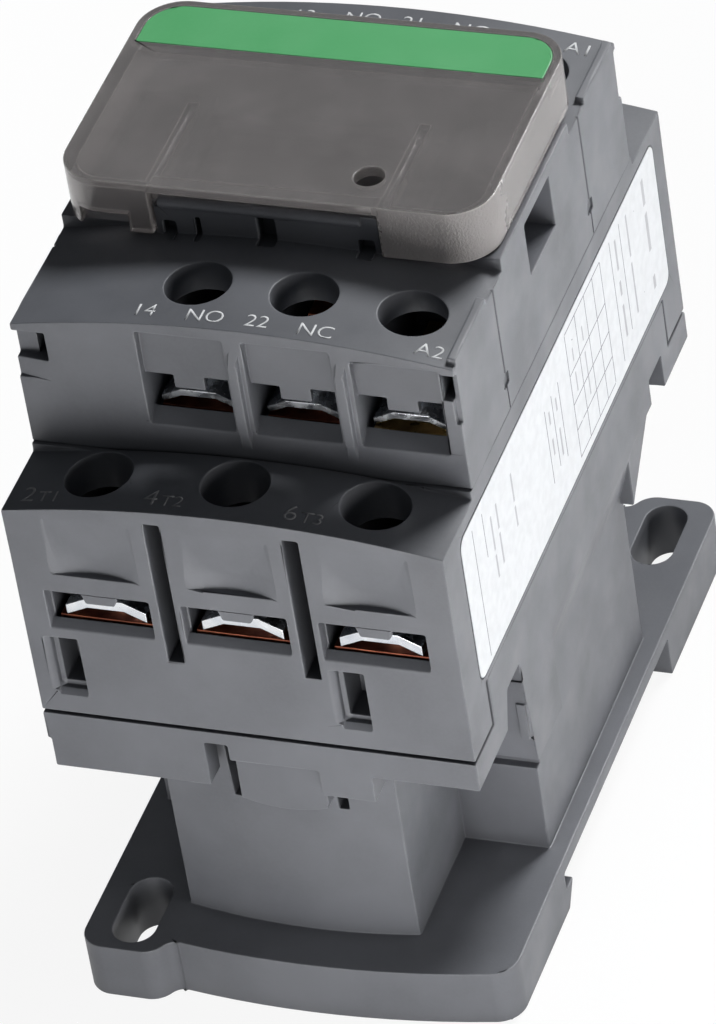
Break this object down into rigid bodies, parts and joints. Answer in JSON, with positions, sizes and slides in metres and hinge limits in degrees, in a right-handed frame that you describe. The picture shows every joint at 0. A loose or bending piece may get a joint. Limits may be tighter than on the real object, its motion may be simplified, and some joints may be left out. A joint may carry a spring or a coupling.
{
  "type": "three-pole contactor",
  "caption": "Stepped rectangular industrial control relay (contactor) for rail or screw mounting, with screw terminals in tiers, a smoked front cover and a sprung contact carrier.",
  "frame": {"origin": "centre of the mounting plate's back face, which is also the bottom centre of the whole part's box", "axes": "+X across the poles to the coil terminals' side, +Y from the load terminals to the line terminals, +Z out of the mounting face through the front cover"},
  "size_m": [0.045, 0.077, 0.084],
  "materials": {
    "housing": "moulded thermoplastic, fine matt texture",
    "cover": "smoked translucent plastic",
    "marker": "satin moulded plastic",
    "label": "printed film label, left blank but for ruled lines",
    "core_steel": "ground laminated steel",
    "copper": "rolled copper alloy",
    "terminal_brass": "stamped brass strip",
    "bridge_metal": "stamped copper alloy with silver tips",
    "winding": "enamelled copper wire under varnish",
    "bobbin": "moulded nylon",
    "carrier": "moulded thermoset",
    "rubber": "soft pad",
    "spring_steel": "bright wire and strip",
    "clamp_zinc": "zinc plated",
    "screw_zinc": "zinc plated"
  },
  "bodies": {
    "housing": {"base_housing": "housing", "main_housing": "housing", "upper_housing": "housing", "side_label": "label", "fixed_core": "core_steel", "shading_rings": "copper", "core_pads": "rubber", "coil_bobbin": "bobbin", "coil_winding": "winding", "coil_terminals": "terminal_brass", "load_contact_1": "copper", "load_contact_2": "copper", "load_contact_3": "copper", "line_contact_1": "copper", "line_contact_2": "copper", "line_contact_3": "copper", "aux_contacts": "copper", "return_spring": "spring_steel"},
    "cover": {"front_cover": "cover", "marker_strip": "marker"},
    "rail_clip": {"rail_clip": "spring_steel"},
    "carrier": {"contact_carrier": "carrier", "armature": "core_steel", "armature_pin": "spring_steel", "main_spring_1": "spring_steel", "main_spring_2": "spring_steel", "main_spring_3": "spring_steel", "no_spring": "spring_steel", "nc_spring": "spring_steel"},
    "bridge_1": {"main_bridge_1": "bridge_metal"},
    "bridge_2": {"main_bridge_2": "bridge_metal"},
    "bridge_3": {"main_bridge_3": "bridge_metal"},
    "bridge_no": {"no_bridge": "bridge_metal"},
    "bridge_nc": {"nc_bridge": "bridge_metal"},
    "load_1_clamp": {"load_clamp_1": "clamp_zinc"},
    "load_1_screw": {"load_screw_1": "screw_zinc"},
    "load_2_clamp": {"load_clamp_2": "clamp_zinc"},
    "load_2_screw": {"load_screw_2": "screw_zinc"},
    "load_3_clamp": {"load_clamp_3": "clamp_zinc"},
    "load_3_screw": {"load_screw_3": "screw_zinc"},
    "line_1_clamp": {"line_clamp_1": "clamp_zinc"},
    "line_1_screw": {"line_screw_1": "screw_zinc"},
    "line_2_clamp": {"line_clamp_2": "clamp_zinc"},
    "line_2_screw": {"line_screw_2": "screw_zinc"},
    "line_3_clamp": {"line_clamp_3": "clamp_zinc"},
    "line_3_screw": {"line_screw_3": "screw_zinc"},
    "clamp_14": {"clamp_14": "clamp_zinc"},
    "screw_14": {"screw_14": "screw_zinc"},
    "clamp_22": {"clamp_22": "clamp_zinc"},
    "screw_22": {"screw_22": "screw_zinc"},
    "clamp_a2": {"clamp_a2": "clamp_zinc"},
    "screw_a2": {"screw_a2": "screw_zinc"},
    "clamp_13": {"clamp_13": "clamp_zinc"},
    "screw_13": {"screw_13": "screw_zinc"},
    "clamp_21": {"clamp_21": "clamp_zinc"},
    "screw_21": {"screw_21": "screw_zinc"},
    "clamp_a1": {"clamp_a1": "clamp_zinc"},
    "screw_a1": {"screw_a1": "screw_zinc"}
  },
  "joints": [
    {"name": "carrier_travel", "type": "slide", "parent": "housing", "child": "carrier", "axis": [0, 0, -1], "range_m": [0, 0.0048], "stiffness_N_per_m": 600, "springref_m": -0.004, "deforming": ["return_spring"]},
    {"name": "cover_hinge", "type": "hinge", "parent": "housing", "child": "cover", "pos_m": [0, 0.0182, 0.0796], "axis": [-1, 0, 0], "range_deg": [0, 95]},
    {"name": "clip_pull", "type": "slide", "parent": "housing", "child": "rail_clip", "axis": [0, 1, 0], "range_m": [0, 0.0022], "stiffness_N_per_m": 2500, "springref_m": -0.002},
    {"name": "bridge_1_give", "type": "slide", "parent": "carrier", "child": "bridge_1", "axis": [0, 0, 1], "range_m": [0, 0.001], "deforming": ["main_spring_1"]},
    {"name": "bridge_2_give", "type": "slide", "parent": "carrier", "child": "bridge_2", "axis": [0, 0, 1], "range_m": [0, 0.001], "deforming": ["main_spring_2"]},
    {"name": "bridge_3_give", "type": "slide", "parent": "carrier", "child": "bridge_3", "axis": [0, 0, 1], "range_m": [0, 0.001], "deforming": ["main_spring_3"]},
    {"name": "bridge_no_give", "type": "slide", "parent": "carrier", "child": "bridge_no", "axis": [0, 0, 1], "range_m": [0, 0.001], "deforming": ["no_spring"]},
    {"name": "bridge_nc_give", "type": "slide", "parent": "carrier", "child": "bridge_nc", "axis": [0, 0, 1], "range_m": [0, 0.001], "deforming": ["nc_spring"]},
    {"name": "load_1_screw_turn", "type": "hinge", "parent": "load_1_clamp", "child": "load_1_screw", "pos_m": [-0.01413, -0.03, 0.0506], "axis": [0, 0, 1], "range_deg": [0, 1801]},
    {"name": "load_1_clamp_lift", "type": "slide", "parent": "housing", "child": "load_1_clamp", "axis": [0, 0, 1], "range_m": [0, 0.003]},
    {"name": "load_2_screw_turn", "type": "hinge", "parent": "load_2_clamp", "child": "load_2_screw", "pos_m": [0, -0.03, 0.0506], "axis": [0, 0, 1], "range_deg": [0, 1801]},
    {"name": "load_2_clamp_lift", "type": "slide", "parent": "housing", "child": "load_2_clamp", "axis": [0, 0, 1], "range_m": [0, 0.003]},
    {"name": "load_3_screw_turn", "type": "hinge", "parent": "load_3_clamp", "child": "load_3_screw", "pos_m": [0.01413, -0.03, 0.0506], "axis": [0, 0, 1], "range_deg": [0, 1801]},
    {"name": "load_3_clamp_lift", "type": "slide", "parent": "housing", "child": "load_3_clamp", "axis": [0, 0, 1], "range_m": [0, 0.003]},
    {"name": "line_1_screw_turn", "type": "hinge", "parent": "line_1_clamp", "child": "line_1_screw", "pos_m": [-0.01413, 0.03, 0.0506], "axis": [0, 0, 1], "range_deg": [0, 1801]},
    {"name": "line_1_clamp_lift", "type": "slide", "parent": "housing", "child": "line_1_clamp", "axis": [0, 0, 1], "range_m": [0, 0.003]},
    {"name": "line_2_screw_turn", "type": "hinge", "parent": "line_2_clamp", "child": "line_2_screw", "pos_m": [0, 0.03, 0.0506], "axis": [0, 0, 1], "range_deg": [0, 1801]},
    {"name": "line_2_clamp_lift", "type": "slide", "parent": "housing", "child": "line_2_clamp", "axis": [0, 0, 1], "range_m": [0, 0.003]},
    {"name": "line_3_screw_turn", "type": "hinge", "parent": "line_3_clamp", "child": "line_3_screw", "pos_m": [0.01413, 0.03, 0.0506], "axis": [0, 0, 1], "range_deg": [0, 1801]},
    {"name": "line_3_clamp_lift", "type": "slide", "parent": "housing", "child": "line_3_clamp", "axis": [0, 0, 1], "range_m": [0, 0.003]},
    {"name": "screw_14_turn", "type": "hinge", "parent": "clamp_14", "child": "screw_14", "pos_m": [-0.0052, -0.0193, 0.0694], "axis": [0, 0, 1], "range_deg": [0, 1729]},
    {"name": "clamp_14_lift", "type": "slide", "parent": "housing", "child": "clamp_14", "axis": [0, 0, 1], "range_m": [0, 0.0024]},
    {"name": "screw_22_turn", "type": "hinge", "parent": "clamp_22", "child": "screw_22", "pos_m": [0.0056, -0.0193, 0.0694], "axis": [0, 0, 1], "range_deg": [0, 1729]},
    {"name": "clamp_22_lift", "type": "slide", "parent": "housing", "child": "clamp_22", "axis": [0, 0, 1], "range_m": [0, 0.0024]},
    {"name": "screw_a2_turn", "type": "hinge", "parent": "clamp_a2", "child": "screw_a2", "pos_m": [0.0164, -0.0193, 0.0694], "axis": [0, 0, 1], "range_deg": [0, 1729]},
    {"name": "clamp_a2_lift", "type": "slide", "parent": "housing", "child": "clamp_a2", "axis": [0, 0, 1], "range_m": [0, 0.0024]},
    {"name": "screw_13_turn", "type": "hinge", "parent": "clamp_13", "child": "screw_13", "pos_m": [-0.0052, 0.0193, 0.0694], "axis": [0, 0, 1], "range_deg": [0, 1729]},
    {"name": "clamp_13_lift", "type": "slide", "parent": "housing", "child": "clamp_13", "axis": [0, 0, 1], "range_m": [0, 0.0024]},
    {"name": "screw_21_turn", "type": "hinge", "parent": "clamp_21", "child": "screw_21", "pos_m": [0.0056, 0.0193, 0.0694], "axis": [0, 0, 1], "range_deg": [0, 1729]},
    {"name": "clamp_21_lift", "type": "slide", "parent": "housing", "child": "clamp_21", "axis": [0, 0, 1], "range_m": [0, 0.0024]},
    {"name": "screw_a1_turn", "type": "hinge", "parent": "clamp_a1", "child": "screw_a1", "pos_m": [0.0164, 0.0193, 0.0694], "axis": [0, 0, 1], "range_deg": [0, 1729]},
    {"name": "clamp_a1_lift", "type": "slide", "parent": "housing", "child": "clamp_a1", "axis": [0, 0, 1], "range_m": [0, 0.0024]}
  ],
  "couplings": [
    {"joint": "bridge_1_give", "follows": "carrier_travel", "ratio": 0.20833},
    {"joint": "bridge_2_give", "follows": "carrier_travel", "ratio": 0.20833},
    {"joint": "bridge_3_give", "follows": "carrier_travel", "ratio": 0.20833},
    {"joint": "bridge_no_give", "follows": "carrier_travel", "ratio": 0.20833},
    {"joint": "bridge_nc_give", "follows": "carrier_travel", "ratio": 0.20833},
    {"joint": "load_1_screw_turn", "follows": "load_1_clamp_lift", "rad_per_m": 10472},
    {"joint": "load_2_screw_turn", "follows": "load_2_clamp_lift", "rad_per_m": 10472},
    {"joint": "load_3_screw_turn", "follows": "load_3_clamp_lift", "rad_per_m": 10472},
    {"joint": "line_1_screw_turn", "follows": "line_1_clamp_lift", "rad_per_m": 10472},
    {"joint": "line_2_screw_turn", "follows": "line_2_clamp_lift", "rad_per_m": 10472},
    {"joint": "line_3_screw_turn", "follows": "line_3_clamp_lift", "rad_per_m": 10472},
    {"joint": "screw_14_turn", "follows": "clamp_14_lift", "rad_per_m": 12566},
    {"joint": "screw_22_turn", "follows": "clamp_22_lift", "rad_per_m": 12566},
    {"joint": "screw_a2_turn", "follows": "clamp_a2_lift", "rad_per_m": 12566},
    {"joint": "screw_13_turn", "follows": "clamp_13_lift", "rad_per_m": 12566},
    {"joint": "screw_21_turn", "follows": "clamp_21_lift", "rad_per_m": 12566},
    {"joint": "screw_a1_turn", "follows": "clamp_a1_lift", "rad_per_m": 12566}
  ]
}
